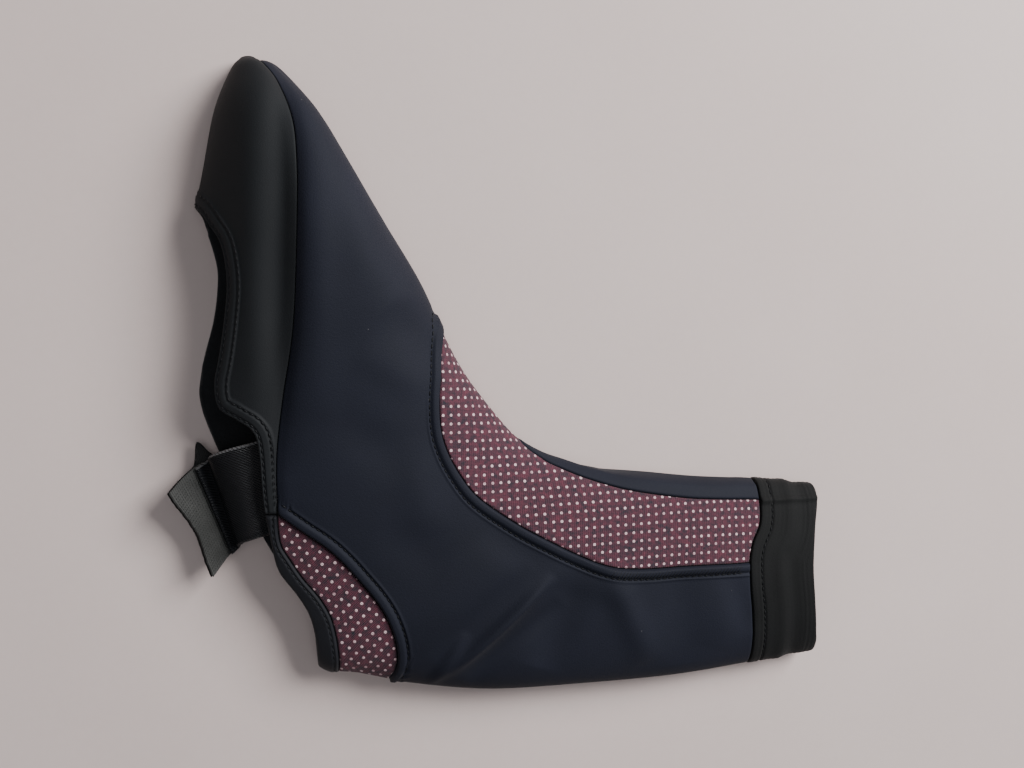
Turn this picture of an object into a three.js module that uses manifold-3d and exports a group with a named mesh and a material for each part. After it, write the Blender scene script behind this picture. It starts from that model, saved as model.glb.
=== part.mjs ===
// A cycling overshoe: a boot cover of softshell, knit and elastic, open under the arch and heel.
// It is the left one of a pair, empty and slack, lying on its inner side with its outer side up.
// Millimetres. +X runs up the leg, +Y towards the toe and +Z off the floor.
import * as THREE from 'three';
import { mergeVertices } from 'three/addons/utils/BufferGeometryUtils.js';
import Module from 'manifold-3d';

const wasm = await Module();
wasm.setup();

// Driving sizes of the whole cover
const footLength = 253; // back of the heel to the tip of the toe
const shaftLength = 235; // sole line to the seam that carries the cuff
const cuffLength = 29; // elastic band above that seam
const forefootDepth = 40; // thickness of the empty forefoot as it lies
const shaftDepth = 25; // thickness of the slack shaft as it lies

// Cloths and seams
const shellWall = 2.2; // softshell laminate of the upper
const soleWall = 2.6; // coated cloth of the sole panel
const knitWall = 1.7; // dotted stretch knit
const knitSink = 0.4; // how far the thin knit lies below the softshell round it
const cuffWall = 2.3; // doubled elastic
const cuffProud = 0.4; // how far the elastic stands over the shaft that it is sewn on
const bindingWall = 2.4; // folded tape along the heel opening
const seamRise = 0.7; // height of a turned and topstitched edge
const seamWidth = 5.2; // width of that edge
const hemWidth = 6; // turned edge round the opening under the foot
const seamGap = 0.3; // clearance between two panels that are sewn edge to edge

// Arch strap
const strapWidth = 38;
const strapThickness = 1.6;
const tapeLength = 17; // hook tape on the end of the tab
const tapeThickness = 1.1;

// How the slack tube is folded
const foldShare = 0.32; // height of the side folds, as a share of the depth
const floorPress = 1.7; // how hard the lower side is pressed flat
const lowerFullness = 0.8; // under 1 squares off the lower side
const openingSplit = 0.27 * forefootDepth; // height between the upper and lower edge of the opening
const shinSplit = 0.115 * forefootDepth; // height down to which the shin knit wraps the front fold

// Fineness of the faceted cloth
const stepsPerSection = 2;
const pointsAround = 40;
const liningPointsAround = 30;
const pointsPerSeamPoint = 2;
const ribbonSteps = 16;
const smallestHalf = 1; // a section's lining stops where it would be narrower than twice this

// The model's origin: a point on the floor under the ankle, in the shares that the tables below use
const restPoint = { up: 0.56, along: 0.17 };

// Rows of values under named columns
function table(columns, rows) {
  return rows.map((row) => Object.fromEntries(row.map((value, i) => [columns[i], value])));
}

// Sections from toe to collar. The back columns say where each meets the sole, heel or calf, and the front
// columns where it meets the toe, instep or shin, up being a share of shaftLength and along of footLength.
// foot and shaft are shares of the two depths and cuff of cuffLength. crest is where across the section it
// stands highest. slant and peak shape its slopes to the back and to the front: over 1 they are
// straighter, under 1 they are fuller.
const sections = table(
  ['at', 'backUp', 'backAlong', 'frontUp', 'frontAlong', 'foot', 'shaft', 'cuff', 'crest', 'slant', 'peak'],
  [
    ['toe tip', 0.083, 0.999, 0.1, 1, 0.22, 0, 0, 0.5, 0.9, 0.9],
    ['toe cap', 0.062, 0.977, 0.143, 0.985, 0.5, 0, 0, 0.56, 1, 0.9],
    ['toe box', 0.036, 0.913, 0.193, 0.93, 0.77, 0, 0, 0.62, 1.2, 0.9],
    ['vamp', 0.017, 0.821, 0.247, 0.85, 0.93, 0, 0, 0.64, 1.5, 0.9],
    ['ball', -0.004, 0.72, 0.312, 0.75, 1, 0, 0, 0.62, 1.9, 0.95],
    ['waist', -0.018, 0.61, 0.374, 0.656, 0.97, 0, 0, 0.58, 2, 1],
    ['instep', -0.026, 0.5, 0.415, 0.577, 0.88, 0, 0, 0.53, 1.7, 1],
    ['arch', -0.012, 0.402, 0.452, 0.513, 0.8, 0, 0, 0.5, 1.4, 1],
    ['rear arch', 0.03, 0.295, 0.497, 0.456, 0.73, 0, 0, 0.48, 1.1, 1],
    ['heel front', 0.09, 0.197, 0.548, 0.402, 0.69, 0, 0, 0.48, 1, 1],
    ['heel', 0.15, 0.112, 0.595, 0.374, 0.64, 0.04, 0, 0.5, 0.95, 1],
    ['heel corner', 0.2, 0.035, 0.638, 0.36, 0.42, 0.38, 0, 0.5, 0.9, 0.95],
    ['heel back', 0.268, 0.018, 0.68, 0.349, 0.2, 0.76, 0, 0.5, 0.9, 0.9],
    ['ankle', 0.356, -0.002, 0.73, 0.34, 0, 1.06, 0, 0.5, 0.85, 0.85],
    ['lower shaft', 0.5, -0.022, 0.8, 0.333, 0, 1, 0, 0.5, 0.8, 0.8],
    ['middle shaft', 0.68, -0.024, 0.878, 0.325, 0, 0.93, 0, 0.5, 0.75, 0.75],
    ['upper shaft', 0.852, -0.021, 0.948, 0.32, 0, 0.86, 0, 0.5, 0.75, 0.75],
    ['cuff seam', 1, -0.009, 1, 0.317, 0, 0.79, 0, 0.5, 0.75, 0.75],
    ['collar', 1, 0.004, 1, 0.303, 0, 0.74, 1, 0.5, 0.75, 0.75],
    ['past the collar', 1, 0.004, 1, 0.303, 0, 0.74, 1.25, 0.5, 0.75, 0.75],
  ],
);

// Seam lines seen from above, each point a [share of shaftLength, share of footLength]
const seamLines = {
  // where the softshell meets the sole panel, from the toe to the arch
  sole: [[0.085, 1.06], [0.111, 0.998], [0.143, 0.959], [0.163, 0.899], [0.168, 0.833], [0.166, 0.737],
    [0.158, 0.581], [0.141, 0.476], [0.13, 0.384], [0.131, 0.292]],
  // free edge of the opening on the outer side, from its front notch to the back of the heel
  upperEdge: [[-0.06, 0.772], [0.002, 0.762], [0.03, 0.73], [0.047, 0.7], [0.054, 0.65], [0.049, 0.595],
    [0.04, 0.54], [0.031, 0.494], [0.038, 0.458], [0.066, 0.44], [0.09, 0.424], [0.1, 0.396],
    [0.107, 0.309], [0.118, 0.25], [0.13, 0.2], [0.161, 0.158], [0.18, 0.126], [0.19, 0.089],
    [0.194, 0.05], [0.198, 0.01], [0.198, -0.06]],
  // the same edge on the inner side, which shows past the upper one under the ball of the foot
  lowerEdge: [[-0.06, 0.772], [0.002, 0.762], [0.02, 0.728], [0.035, 0.677], [0.035, 0.636],
    [0.028, 0.59], [0.014, 0.54], [0.003, 0.495], [0.002, 0.467], [0.012, 0.43], [0.035, 0.38],
    [0.072, 0.31], [0.104, 0.245], [0.13, 0.2], [0.161, 0.158], [0.18, 0.126], [0.19, 0.089],
    [0.194, 0.05], [0.198, 0.01], [0.198, -0.06]],
  // rear side of the shin knit, from the instep to the cuff
  shinRear: [[0.445, 0.66], [0.415, 0.602], [0.414, 0.57], [0.407, 0.51], [0.403, 0.462], [0.406, 0.416],
    [0.418, 0.38], [0.438, 0.346], [0.462, 0.316], [0.494, 0.291], [0.546, 0.259], [0.596, 0.233],
    [0.648, 0.208], [0.69, 0.191], [0.73, 0.182], [0.784, 0.178], [0.87, 0.178], [1.06, 0.178]],
  // front side of the shin knit, from beyond the instep's fold to the cuff
  shinFront: [[0.5, 0.62], [0.5, 0.5], [0.551, 0.402], [0.593, 0.366], [0.625, 0.35], [0.675, 0.331],
    [0.747, 0.311], [0.838, 0.296], [0.912, 0.289], [1.06, 0.282]],
  // upper side of the heel knit, from the arch to the back of the heel
  heel: [[0.131, 0.292], [0.168, 0.266], [0.208, 0.239], [0.237, 0.213], [0.265, 0.182], [0.292, 0.15],
    [0.311, 0.12], [0.324, 0.087], [0.33, 0.055], [0.328, 0.03], [0.318, 0.004], [0.31, -0.06]],
  // inner side of the tape that binds the heel opening
  binding: [[0.131, 0.292], [0.132, 0.262], [0.137, 0.24], [0.148, 0.222], [0.171, 0.188],
    [0.198, 0.156], [0.216, 0.126], [0.225, 0.096], [0.23, 0.064], [0.232, 0.034], [0.232, -0.06]],
  // seam between the shaft and the cuff, from the shin to the calf
  cuff: [[1.006, 0.36], [1.006, 0.281], [1.002, 0.243], [0.987, 0.213], [0.98, 0.181], [0.982, 0.135],
    [0.989, 0.089], [0.994, 0.032], [0.997, -0.06]],
  // free edge of the cuff, with a share of cuffLength as third value
  collar: [[1, 0.36, 0.93], [1, 0.31, 0.93], [1, 0.279, 1], [1, 0.231, 0.94], [1, 0.167, 0.9],
    [1, 0.11, 0.94], [1, 0.05, 1], [1, 0.02, 0.96], [1, -0.06, 0.9]],
};

// Places beyond the cover's outline, in the same shares, where cutters can end
const beyond = { sole: -0.3, heel: -0.06, toe: 1.06, shin: 0.36, cuff: 1.5 };
// Where along the foot the sole panel ends and the heel's binding begins
const strapPlace = seamLines.binding[0][1];

// Rows of the arch strap, each half from the edge that it is sewn to. lift is a share of forefootDepth over
// the cloth of the lower edge. turn swings the strap's width from the foot's length, and tip raises the
// side nearer the toe, both in degrees.
const strapColumns = ['at', 'up', 'along', 'lift', 'turn', 'tip'];
const elasticRows = table(strapColumns, [
  ['under the upper edge', 0.121, 0.335, 0.405, 10, 7],
  ['at the upper edge', 0.1, 0.33, 0.39, 11, 7],
  ['crown', 0.074, 0.323, 0.36, 13, 6],
  ['slope', 0.047, 0.312, 0.24, 16, 5],
]);
const tabRows = table(strapColumns, [
  ['on the lower edge', 0.099, 0.323, 0, 11, 0],
  ['off the lower edge', 0.067, 0.314, 0, 13, 0],
  ['under the elastic', 0.04, 0.302, 0.01, 17, 1],
  ['end of the elastic', 0.02, 0.29, 0.05, 21, 3],
  ['bend', 0.003, 0.275, 0.12, 24, 4],
  ['free end', -0.0136, 0.257, 0.21, 25, 4],
]);
const gripRows = [2, 3]; // rows of the tab that the elastic ends on

const colours = {
  softshell: new THREE.Color('#20252f'),
  coatedCloth: new THREE.Color('#15181b'),
  dottedKnit: new THREE.Color('#7a4f5b'),
  elastic: new THREE.Color('#161818'),
  hookTape: new THREE.Color('#3a3d3c'),
};

// A point of the plan, from its shares of the shaft, the foot and the cuff
function planPoint([up, along, cuff = 0]) {
  const x = (up - restPoint.up) * shaftLength + cuff * cuffLength;
  return new THREE.Vector2(x, (along - restPoint.along) * footLength);
}

// Catmull-Rom value between the second and third of four, at a share of the way
function throughFour([before, start, end, after], share) {
  const slopeIn = (end - before) / 2;
  const slopeOut = (after - start) / 2;
  const bend = 3 * (end - start) - 2 * slopeIn - slopeOut;
  const twist = slopeIn + slopeOut - 2 * (end - start);
  return start + share * (slopeIn + share * (bend + share * twist));
}

// The section at a place along the table, where whole numbers are its rows
function sectionAt(place) {
  const last = sections.length - 1;
  const row = Math.min(Math.floor(place), last - 1);
  const near = [row - 1, row, row + 1, row + 2].map((i) => sections[THREE.MathUtils.clamp(i, 0, last)]);
  const value = (column) => throughFour(near.map((section) => section[column]), place - row);
  const depth = value('foot') * forefootDepth + value('shaft') * shaftDepth;
  return {
    back: planPoint([value('backUp'), value('backAlong'), value('cuff')]),
    front: planPoint([value('frontUp'), value('frontAlong'), value('cuff')]),
    fold: foldShare * depth,
    rise: (1 - foldShare) * depth,
    crest: value('crest'),
    slant: value('slant'),
    peak: value('peak'),
  };
}

// A point of the skin. The angle runs from the back fold over the top to the front fold at PI, and on
// under the lower side, which the floor flattens. inset moves it into the cloth, or out if negative.
function skinPoint(section, angle, inset) {
  const across = section.front.clone().sub(section.back);
  const half = across.length() / 2 - inset;
  const bulge = Math.abs(Math.sin(angle));
  const onTop = angle <= Math.PI;
  const shift = onTop ? (section.crest - 0.5) * bulge ** 2 * 2 * half : 0;
  const place = section.back.clone().add(section.front).multiplyScalar(0.5)
    .addScaledVector(across.normalize(), shift - half * Math.cos(angle));
  const fullness = angle < Math.PI / 2 ? section.slant : section.peak;
  const top = section.fold + (section.rise - inset) * bulge ** fullness;
  const bottom = section.fold - (floorPress * section.fold - inset) * bulge ** lowerFullness;
  return new THREE.Vector3(place.x, place.y, onTop ? top : Math.max(inset, 0, bottom));
}

// A closed geometry through rings of equally many points, each end closed on its middle point
function closedRings(rings) {
  const around = rings[0].length;
  const positions = rings.flat().flatMap((point) => [point.x, point.y, point.z]);
  const index = [];
  for (let i = 0; i + 1 < rings.length; i++) {
    for (let j = 0; j < around; j++) {
      const a = i * around + j;
      const b = i * around + (j + 1) % around;
      index.push(a, a + around, b, b, a + around, b + around);
    }
  }
  const closeEnd = (ring, start, isLast) => {
    const middle = ring.reduce((sum, point) => sum.add(point), new THREE.Vector3()).divideScalar(around);
    const centre = positions.length / 3;
    positions.push(middle.x, middle.y, middle.z);
    for (let j = 0; j < around; j++) {
      const next = start + (j + 1) % around;
      index.push(...(isLast ? [centre, next, start + j] : [centre, start + j, next]));
    }
  };
  closeEnd(rings[0], 0, false);
  closeEnd(rings.at(-1), (rings.length - 1) * around, true);
  const geometry = new THREE.BufferGeometry();
  geometry.setAttribute('position', new THREE.Float32BufferAttribute(positions, 3));
  geometry.setIndex(index);
  return geometry;
}

// A solid that can be joined and cut
function solid(geometry) {
  geometry.deleteAttribute('normal');
  geometry.deleteAttribute('uv');
  const merged = mergeVertices(geometry);
  return new wasm.Manifold(new wasm.Mesh({
    numProp: 3,
    vertProperties: new Float32Array(merged.attributes.position.array),
    triVerts: new Uint32Array(merged.index.array),
  }));
}

// The whole cover as one filled form, its skin moved in by inset
function body(inset, around = pointsAround) {
  const rings = [];
  const steps = (sections.length - 1) * stepsPerSection;
  for (let i = 0; i <= steps; i++) {
    const section = sectionAt(i / stepsPerSection);
    const half = section.front.distanceTo(section.back) / 2;
    if (Math.min(half, section.rise) < inset + smallestHalf) continue;
    const angles = Array.from({ length: around }, (_, j) => (j / around) * 2 * Math.PI);
    rings.push(angles.map((angle) => skinPoint(section, angle, inset)));
  }
  return solid(closedRings(rings));
}

// A hollow skin of a wall's thickness, its outer face moved in by inset
function skin(inset, wall) {
  return body(inset).subtract(body(inset + wall, liningPointsAround));
}

// A seam line as points of the plan, moved sideways by a distance, to its left as it runs
function seam(name, sideways = 0) {
  const line = new THREE.SplineCurve(seamLines[name].map((shares) => planPoint(shares)));
  const count = seamLines[name].length * pointsPerSeamPoint;
  return Array.from({ length: count + 1 }, (_, i) => {
    const tangent = line.getTangent(i / count);
    return line.getPoint(i / count).add(new THREE.Vector2(-tangent.y, tangent.x).multiplyScalar(sideways));
  });
}

// An upright cutter over an outline of the plan
function cutter(outline, low = -forefootDepth, high = 2 * forefootDepth) {
  const extrusion = { depth: high - low, bevelEnabled: false };
  return solid(new THREE.ExtrudeGeometry(new THREE.Shape(outline), extrusion).translate(0, 0, low));
}

// The upright band between a seam line and the same line moved sideways
function band(name, width, low, high) {
  return cutter([...seam(name), ...seam(name, width).reverse()], low, high);
}

// An upright cutter over everything on one side of a seam line, out to corners beyond the cover
function beside(name, margin, corners, low, high) {
  return cutter([...seam(name, margin), ...corners.map(planPoint)], low, high);
}

// The panels' regions. margin takes a seam's clearance off the region.
const region = {
  sole: (margin) => beside('sole', -margin, [[beyond.sole, strapPlace], [beyond.sole, beyond.toe]]),
  heel: (margin) => beside('heel', -margin, [[beyond.sole, beyond.heel], [beyond.sole, strapPlace]]),
  binding: (margin) => beside('binding', -margin, [[beyond.sole, beyond.heel], [beyond.sole, strapPlace]]),
  shin: (margin) => cutter(
    [...seam('shinRear', margin), ...seam('shinFront', -margin).reverse()],
    shinSplit + margin,
  ),
  cuff: (margin) => beside('cuff', margin, [[beyond.cuff, beyond.heel], [beyond.cuff, beyond.shin]]),
};

// What lies past the edge of the opening on the outer side
function pastUpperEdge(margin) {
  const corners = [[beyond.sole, beyond.heel], [beyond.sole, seamLines.upperEdge[0][1]]];
  return beside('upperEdge', margin, corners, openingSplit);
}

// What lies past the edge of the opening on the inner side
function pastLowerEdge() {
  const corners = [[beyond.sole, beyond.heel], [beyond.sole, seamLines.lowerEdge[0][1]]];
  return beside('lowerEdge', 0, corners, undefined, openingSplit + seamGap);
}

// The clearance between the end of the sole panel and the start of the heel's binding
function strapJoint() {
  const start = planPoint([beyond.sole, strapPlace]);
  const end = planPoint(seamLines.binding[0]);
  const aside = (point, side) => new THREE.Vector2(point.x, point.y + side * seamGap / 2);
  return cutter([aside(start, -1), aside(end, -1), aside(end, 1), aside(start, 1)]);
}

// Softshell of the outer side, instep, inner side and shaft in one, with turned edges along the knit
function makeUpper() {
  const turnedEdges = band('shinRear', -seamWidth, shinSplit).add(band('heel', seamWidth));
  return skin(0, shellWall).add(skin(-seamRise, shellWall + seamRise).intersect(turnedEdges))
    .subtract(region.sole(0)).subtract(region.heel(0)).subtract(region.shin(0)).subtract(region.cuff(0));
}

// Coated cloth under the foot, folded along its middle, with a hem round the opening
function makeSolePanel() {
  const outerHem = skin(-seamRise, soleWall + seamRise).intersect(band('upperEdge', hemWidth, openingSplit));
  const innerHem = skin(0, soleWall + seamRise).intersect(band('lowerEdge', hemWidth, undefined, openingSplit));
  return skin(0, soleWall).add(outerHem).add(innerHem).intersect(region.sole(seamGap))
    .subtract(pastUpperEdge(0)).subtract(pastLowerEdge()).subtract(strapJoint());
}

// Stretch knit over the shin and instep, round the front fold at the instep
function makeShinKnit() {
  return skin(knitSink, knitWall).intersect(region.shin(seamGap)).subtract(region.cuff(0));
}

// Stretch knit round the back of the heel
function makeHeelKnit() {
  return skin(knitSink, knitWall).intersect(region.heel(seamGap)).subtract(region.binding(0));
}

// Tape folded over the edge of the heel knit
function makeHeelBinding() {
  return skin(0, bindingWall).intersect(region.binding(seamGap))
    .subtract(pastUpperEdge(0)).subtract(pastLowerEdge()).subtract(strapJoint());
}

// Wide elastic sewn round the top of the shaft
function makeCuff() {
  const pastCollar = beside('collar', 0, [[beyond.cuff, beyond.heel], [beyond.cuff, beyond.shin]]);
  return skin(-cuffProud, cuffWall).intersect(region.cuff(seamGap)).subtract(pastCollar);
}

// The middle of a strap at one of its rows
function strapMiddle(row) {
  const { x, y } = planPoint([row.up, row.along]);
  const seat = soleWall + seamRise + seamGap + strapThickness / 2;
  return new THREE.Vector3(x, y, seat + row.lift * forefootDepth);
}

// The middle of a strap at a share of its run, the way across its width and the way out of its upper face
function strapFrame(line, rows, share) {
  const place = share * (rows.length - 1);
  const row = Math.min(Math.floor(place), rows.length - 2);
  const between = (column) => THREE.MathUtils.lerp(rows[row][column], rows[row + 1][column], place - row);
  const [turn, tip] = [between('turn'), between('tip')].map(THREE.MathUtils.degToRad);
  const across = new THREE.Vector3(0, Math.cos(tip), Math.sin(tip)).applyAxisAngle(line.up, turn);
  const out = new THREE.Vector3().crossVectors(across, line.getTangent(share)).normalize();
  return { middle: line.getPoint(share), across, out };
}

// A smooth line through the middles of a strap, with the way up that its rows turn about
function strapLine(middles) {
  return Object.assign(new THREE.CatmullRomCurve3(middles), { up: new THREE.Vector3(0, 0, 1) });
}

// A flat band of the strap's width. It begins at a share of its line, ends where that ends, and lies over
// it by a height.
function ribbon(line, rows, thickness, start = 0, over = 0) {
  const rings = Array.from({ length: ribbonSteps + 1 }, (_, i) => {
    const { middle, across, out } = strapFrame(line, rows, THREE.MathUtils.lerp(start, 1, i / ribbonSteps));
    return [[1, 1], [-1, 1], [-1, -1], [1, -1]].map(([side, face]) => middle.clone()
      .addScaledVector(across, side * strapWidth / 2)
      .addScaledVector(out, over + face * thickness / 2));
  });
  return solid(closedRings(rings));
}

const tabLine = strapLine(tabRows.map(strapMiddle));

// Tab half of the arch strap, from the lower edge to its free end
function makeStrapTab() {
  return ribbon(tabLine, tabRows, strapThickness);
}

// Hook tape on the end of the tab, which the elastic grips
function makeHookTape() {
  const over = (strapThickness + tapeThickness) / 2 + seamGap;
  return ribbon(tabLine, tabRows, tapeThickness, 1 - tapeLength / tabLine.getLength(), over);
}

// Elastic half of the arch strap, from under the upper edge down onto the hook tape
function makeStrapElastic() {
  const over = strapThickness + tapeThickness + 2 * seamGap;
  const grips = gripRows.map((row) => {
    const { middle, out } = strapFrame(tabLine, tabRows, row / (tabRows.length - 1));
    return middle.addScaledVector(out, over);
  });
  const line = strapLine([...elasticRows.map(strapMiddle), ...grips]);
  const rows = [...elasticRows, ...gripRows.map((row) => tabRows[row])];
  const cloth = skin(-seamRise - seamGap, soleWall + seamRise + 2 * seamGap)
    .subtract(pastUpperEdge(-seamGap)).subtract(pastLowerEdge());
  return ribbon(line, rows, strapThickness).subtract(cloth);
}

// One piece of the overshoe as a mesh of its own
function piece(name, form, color, roughness) {
  const { vertProperties, triVerts } = form.getMesh();
  const geometry = new THREE.BufferGeometry();
  geometry.setAttribute('position', new THREE.BufferAttribute(vertProperties, 3));
  geometry.setIndex(new THREE.BufferAttribute(triVerts, 1));
  const mesh = new THREE.Mesh(geometry, new THREE.MeshStandardMaterial({ color, roughness, metalness: 0 }));
  mesh.name = name;
  return mesh;
}

const overshoe = new THREE.Group();
overshoe.add(piece('upper', makeUpper(), colours.softshell, 0.75));
overshoe.add(piece('sole_panel', makeSolePanel(), colours.coatedCloth, 0.7));
overshoe.add(piece('shin_insert', makeShinKnit(), colours.dottedKnit, 0.9));
overshoe.add(piece('heel_insert', makeHeelKnit(), colours.dottedKnit, 0.9));
overshoe.add(piece('heel_binding', makeHeelBinding(), colours.coatedCloth, 0.85));
overshoe.add(piece('cuff', makeCuff(), colours.elastic, 0.9));
overshoe.add(piece('strap_elastic', makeStrapElastic(), colours.elastic, 0.6));
overshoe.add(piece('strap_tab', makeStrapTab(), colours.elastic, 0.8));
overshoe.add(piece('hook_tape', makeHookTape(), colours.hookTape, 0.9));

export default overshoe;
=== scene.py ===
"""A left cycling overshoe, empty and slack, lying on its inner side on a pale floor.

Metres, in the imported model's frame: +X runs up the leg, +Y towards the toe and +Z off the floor.
"""

import bmesh
import bpy
import numpy as np
from mathutils import Matrix, Vector


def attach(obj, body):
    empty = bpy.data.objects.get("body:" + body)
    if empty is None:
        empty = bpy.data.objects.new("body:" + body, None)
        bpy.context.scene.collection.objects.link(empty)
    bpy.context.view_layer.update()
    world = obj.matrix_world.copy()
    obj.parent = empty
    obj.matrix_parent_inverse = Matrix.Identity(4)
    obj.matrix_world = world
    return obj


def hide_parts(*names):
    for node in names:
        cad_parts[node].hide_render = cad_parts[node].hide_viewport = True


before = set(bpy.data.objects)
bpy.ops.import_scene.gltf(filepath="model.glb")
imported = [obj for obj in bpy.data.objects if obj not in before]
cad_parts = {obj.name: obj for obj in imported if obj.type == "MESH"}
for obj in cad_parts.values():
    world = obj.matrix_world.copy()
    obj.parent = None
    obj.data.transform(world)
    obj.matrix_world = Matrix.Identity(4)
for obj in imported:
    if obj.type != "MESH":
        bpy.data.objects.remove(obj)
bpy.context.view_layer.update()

# Upper
# One cover of thin softshell, cut and sewn so that it closes round the foot, the ankle and the shaft. It
# is open under the foot, behind the heel and over the shin, where other panels are sewn in. Its edges
# along the knit panels are turned under and topstitched, and the empty cloth has sunk into soft folds.

MM = 0.001
FOOT_LENGTH = 253 * MM
SHAFT_LENGTH = 235 * MM
CUFF_LENGTH = 29 * MM
FOREFOOT_DEPTH = 40 * MM
SHAFT_DEPTH = 25 * MM
FOLD_SHARE = 0.32  # height of the side folds, as a share of the depth
FLOOR_PRESS = 1.7  # how hard the lower side is pressed flat
LOWER_FULLNESS = 0.8
NOSE = 0.9 * MM  # how far the toe is rounded off past its first section
REST_UP, REST_ALONG = 0.56, 0.17  # the model's origin, in shares of the shaft and of the foot

# Sections from the toe to past the collar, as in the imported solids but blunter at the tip: where each
# meets the sole, heel or calf (back) and the toe, instep or shin (front), in shares of the shaft's length
# (up) and of the foot's (along), then its share of the foot's and the shaft's depth and of the cuff's
# length, where across it stands highest (crest), and the shape of its slopes to the back (slant) and to
# the front (peak).
sections = np.array(
    [
        [0.077, 0.998, 0.108, 1, 0.24, 0, 0, 0.5, 0.9, 0.9],  # toe tip
        [0.062, 0.977, 0.143, 0.985, 0.5, 0, 0, 0.56, 1, 0.9],  # toe cap
        [0.036, 0.913, 0.193, 0.93, 0.77, 0, 0, 0.62, 1.2, 0.9],  # toe box
        [0.017, 0.821, 0.247, 0.85, 0.93, 0, 0, 0.64, 1.5, 0.9],  # vamp
        [-0.004, 0.72, 0.312, 0.75, 1, 0, 0, 0.62, 1.9, 0.95],  # ball
        [-0.018, 0.61, 0.374, 0.656, 0.97, 0, 0, 0.58, 2, 1],  # waist
        [-0.026, 0.5, 0.415, 0.577, 0.88, 0, 0, 0.53, 1.7, 1],  # instep
        [-0.012, 0.402, 0.452, 0.513, 0.8, 0, 0, 0.5, 1.4, 1],  # arch
        [0.03, 0.295, 0.497, 0.456, 0.73, 0, 0, 0.48, 1.1, 1],  # rear arch
        [0.09, 0.197, 0.548, 0.402, 0.69, 0, 0, 0.48, 1, 1],  # heel front
        [0.15, 0.112, 0.595, 0.374, 0.64, 0.04, 0, 0.5, 0.95, 1],  # heel
        [0.2, 0.035, 0.638, 0.36, 0.42, 0.38, 0, 0.5, 0.9, 0.95],  # heel corner
        [0.268, 0.018, 0.68, 0.349, 0.2, 0.76, 0, 0.5, 0.9, 0.9],  # heel back
        [0.356, -0.002, 0.73, 0.34, 0, 1.06, 0, 0.5, 0.85, 0.85],  # ankle
        [0.5, -0.022, 0.8, 0.333, 0, 1, 0, 0.5, 0.8, 0.8],  # lower shaft
        [0.68, -0.024, 0.878, 0.325, 0, 0.93, 0, 0.5, 0.75, 0.75],  # middle shaft
        [0.852, -0.021, 0.948, 0.32, 0, 0.86, 0, 0.5, 0.75, 0.75],  # upper shaft
        [1, -0.009, 1, 0.317, 0, 0.79, 0, 0.5, 0.75, 0.75],  # cuff seam
        [1, 0.004, 1, 0.303, 0, 0.74, 1, 0.5, 0.75, 0.75],  # collar
        [1, 0.004, 1, 0.303, 0, 0.74, 1.25, 0.5, 0.75, 0.75],  # past the collar
    ]
)
CUFF_SECTION = 17  # number of the section at the cuff seam

# Seam lines of the plan, each point a share of the shaft's length and one of the foot's, and on the
# collar one of the cuff's
seams = {
    "sole": [[0.085, 1.06], [0.111, 0.998], [0.143, 0.959], [0.163, 0.899], [0.168, 0.833],
             [0.166, 0.737], [0.158, 0.581], [0.141, 0.476], [0.13, 0.384], [0.131, 0.292]],
    "heel": [[0.131, 0.292], [0.168, 0.266], [0.208, 0.239], [0.237, 0.213], [0.265, 0.182],
             [0.292, 0.15], [0.311, 0.12], [0.324, 0.087], [0.33, 0.055], [0.328, 0.03],
             [0.318, 0.004], [0.31, -0.06]],
    "shin rear": [[0.445, 0.66], [0.415, 0.602], [0.414, 0.57], [0.407, 0.51], [0.403, 0.462],
                  [0.406, 0.416], [0.418, 0.38], [0.438, 0.346], [0.462, 0.316], [0.494, 0.291],
                  [0.546, 0.259], [0.596, 0.233], [0.648, 0.208], [0.69, 0.191], [0.73, 0.182],
                  [0.784, 0.178], [0.87, 0.178], [1.06, 0.178]],
    "shin front": [[0.5, 0.62], [0.5, 0.5], [0.551, 0.402], [0.593, 0.366], [0.625, 0.35],
                   [0.675, 0.331], [0.747, 0.311], [0.838, 0.296], [0.912, 0.289], [1.06, 0.282]],
    "cuff": [[1.006, 0.36], [1.006, 0.281], [1.002, 0.243], [0.987, 0.213], [0.98, 0.181],
             [0.982, 0.135], [0.989, 0.089], [0.994, 0.032], [0.997, -0.06]],
}
POINTS_A_SPAN = 16  # of a seam line, between two of its points

SHELL_WALL = 2.0 * MM
SEAM_GAP = 0.25 * MM
SEAM_RISE = 1.0 * MM  # height of a turned and topstitched edge
SEAM_WIDTH = 6.0 * MM
STITCH_INSET = 4.3 * MM  # from a turned edge to its topstitching
GROOVE_FLOOR = -0.35 * MM  # height to which the stitches pull the cloth down
GROOVE_WIDTH = 0.9 * MM
SHIN_WRAP = 4.6 * MM  # height down to which the shin knit wraps the front fold

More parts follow.
